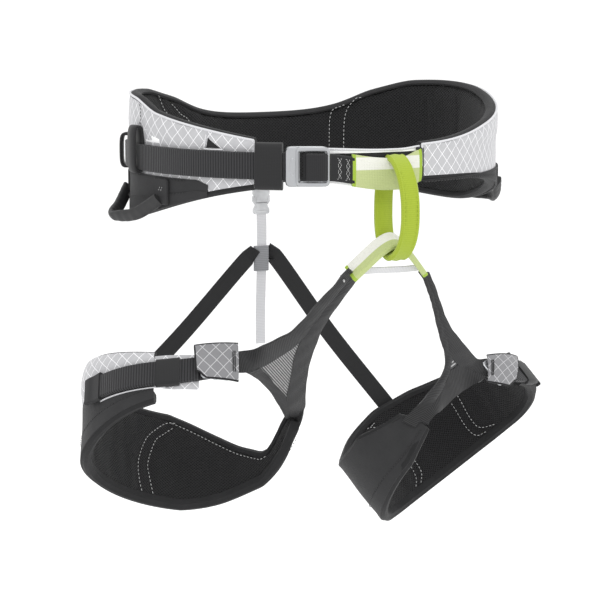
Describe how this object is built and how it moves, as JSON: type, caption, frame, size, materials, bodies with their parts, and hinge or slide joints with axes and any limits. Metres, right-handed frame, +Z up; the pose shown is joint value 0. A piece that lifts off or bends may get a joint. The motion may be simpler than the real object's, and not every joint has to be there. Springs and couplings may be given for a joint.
{
  "type": "climbing harness",
  "caption": "Adjustable sit harness with a padded waist belt, a sewn belay loop, two buckled leg loops and a releasable elastic rear riser.",
  "frame": {"origin": "centre of the waist opening, level with the middle of the waist webbing", "axes": "+Z up, -Y towards the tie-in at the wearer's front, +X towards the wearer's left"},
  "size_m": [0.4176, 0.2809, 0.3793],
  "materials": {
    "ripstop_shell": "woven ripstop",
    "lining_mesh": "knitted spacer mesh",
    "foam": "closed-cell foam",
    "softshell": "smooth stretch fabric",
    "webbing": "woven webbing",
    "elastic": "woven elastic",
    "white_webbing": "woven webbing",
    "striped_sleeve": "woven tubular sleeve",
    "green_webbing": "woven webbing",
    "alloy": "satin",
    "grey_plastic": "moulded",
    "gear_loop_cover": "ribbed moulded cover",
    "riser_fabric": "laminated striped webbing",
    "window_mesh": "open striped mesh"
  },
  "bodies": {
    "waist_belt": {"belt_lining": "lining_mesh", "belt_foam_core": "foam", "belt_shell_left": "ripstop_shell", "belt_shell_back": "softshell", "belt_shell_right": "ripstop_shell", "belt_binding_top": "softshell", "belt_binding_bottom": "softshell", "belt_band_left": "softshell", "belt_band_right": "softshell", "waist_webbing": "webbing", "waist_webbing_tail": "webbing", "tie_in_sleeve": "striped_sleeve", "tie_in_backing": "webbing", "waist_buckle_frame": "alloy", "webbing_fold": "webbing", "clip_slot_front": "elastic", "clip_slot_rear": "elastic", "gear_loop_tabs": "softshell", "rear_tab": "webbing", "rear_buckle_socket": "grey_plastic", "rear_buckle_plug": "grey_plastic"},
    "waist_slider": {"waist_buckle_slider": "alloy"},
    "keeper_waist": {"waist_keeper": "elastic"},
    "left_gear_loop": {"gear_loop_left": "gear_loop_cover"},
    "right_gear_loop": {"gear_loop_right": "gear_loop_cover"},
    "leg_bridge": {"lower_tie_in_webbing": "webbing", "lower_tie_in_sleeve": "striped_sleeve", "spacer_strap": "white_webbing", "rear_slider": "elastic", "rear_riser_strap": "white_webbing"},
    "belay_loop": {"belay_loop_inner": "green_webbing", "belay_loop_outer": "green_webbing"},
    "left_leg": {"left_pad_lining": "lining_mesh", "left_pad_foam": "foam", "left_pad_shell": "ripstop_shell", "left_pad_band": "softshell", "left_pad_binding_top": "softshell", "left_pad_binding_bottom": "softshell", "left_webbing": "webbing", "left_buckle": "alloy", "left_tail_stop": "webbing", "left_riser": "riser_fabric", "left_riser_mesh": "window_mesh", "rear_elastic_left": "elastic"},
    "left_flap": {"left_buckle_flap": "ripstop_shell"},
    "left_leg_keeper": {"left_keeper": "elastic"},
    "right_leg": {"right_pad_lining": "lining_mesh", "right_pad_foam": "foam", "right_pad_shell": "ripstop_shell", "right_pad_band": "softshell", "right_pad_binding_top": "softshell", "right_pad_binding_bottom": "softshell", "right_webbing": "webbing", "right_buckle": "alloy", "right_tail_stop": "webbing", "right_riser": "riser_fabric", "right_riser_mesh": "window_mesh", "rear_elastic_right": "elastic"},
    "right_flap": {"right_buckle_flap": "ripstop_shell"},
    "right_leg_keeper": {"right_keeper": "elastic"}
  },
  "joints": [
    {"name": "waist_slider_tilt", "type": "hinge", "parent": "waist_belt", "child": "waist_slider", "pos_m": [-0.07957, -0.13248, 0], "axis": [0, 0, -1], "range_deg": [0, 20]},
    {"name": "waist_keeper_slide", "type": "hinge", "parent": "waist_belt", "child": "keeper_waist", "pos_m": [0, 0.00519, 0], "axis": [0, 0, 1], "range_deg": [-0.55, 0.45]},
    {"name": "left_gear_loop_lift", "type": "hinge", "parent": "waist_belt", "child": "left_gear_loop", "pos_m": [0.15135, 0.00569, -0.031], "axis": [0.1045, -0.9945, 0], "range_deg": [0, 35]},
    {"name": "right_gear_loop_lift", "type": "hinge", "parent": "waist_belt", "child": "right_gear_loop", "pos_m": [-0.15135, 0.00569, -0.031], "axis": [0.1045, 0.9945, 0], "range_deg": [0, 35]},
    {"name": "tie_in_swing", "type": "hinge", "parent": "waist_belt", "child": "leg_bridge", "pos_m": [0, -0.1514, 0], "axis": [1, 0, 0], "range_deg": [-3.5, 3], "stiffness_Nm_per_rad": 3, "springref_deg": 4.05, "deforming": ["rear_riser_strap"]},
    {"name": "belay_loop_turn", "type": "hinge", "parent": "leg_bridge", "child": "belay_loop", "pos_m": [0, -0.1514, -0.028], "axis": [0, 0, 1], "range_deg": [-8, 8]},
    {"name": "left_leg_swing", "type": "hinge", "parent": "leg_bridge", "child": "left_leg", "pos_m": [0, -0.13732, -0.08549], "axis": [1, 0, 0], "range_deg": [-16, 8], "stiffness_Nm_per_rad": 1, "springref_deg": 5.5, "deforming": ["rear_elastic_left"]},
    {"name": "left_flap_lift", "type": "hinge", "parent": "left_leg", "child": "left_flap", "pos_m": [0.12116, -0.08684, -0.18411], "axis": [0.46, -0.469, -0.754], "range_deg": [0, 60]},
    {"name": "left_keeper_slide", "type": "hinge", "parent": "left_leg", "child": "left_leg_keeper", "pos_m": [0.11015, -0.0095, -0.23893], "axis": [-0.46, 0.469, 0.754], "range_deg": [-3, 3]},
    {"name": "right_leg_swing", "type": "hinge", "parent": "leg_bridge", "child": "right_leg", "pos_m": [0, -0.13732, -0.08549], "axis": [1, 0, 0], "range_deg": [-16, 8], "stiffness_Nm_per_rad": 1, "springref_deg": 5.5, "deforming": ["rear_elastic_right"]},
    {"name": "right_flap_lift", "type": "hinge", "parent": "right_leg", "child": "right_flap", "pos_m": [-0.10559, -0.08527, -0.16846], "axis": [0.2539, 0.5457, 0.7986], "range_deg": [0, 60]},
    {"name": "right_keeper_slide", "type": "hinge", "parent": "right_leg", "child": "right_leg_keeper", "pos_m": [-0.1111, 0.00529, -0.22859], "axis": [0.2539, 0.5457, 0.7986], "range_deg": [-3, 3]}
  ]
}
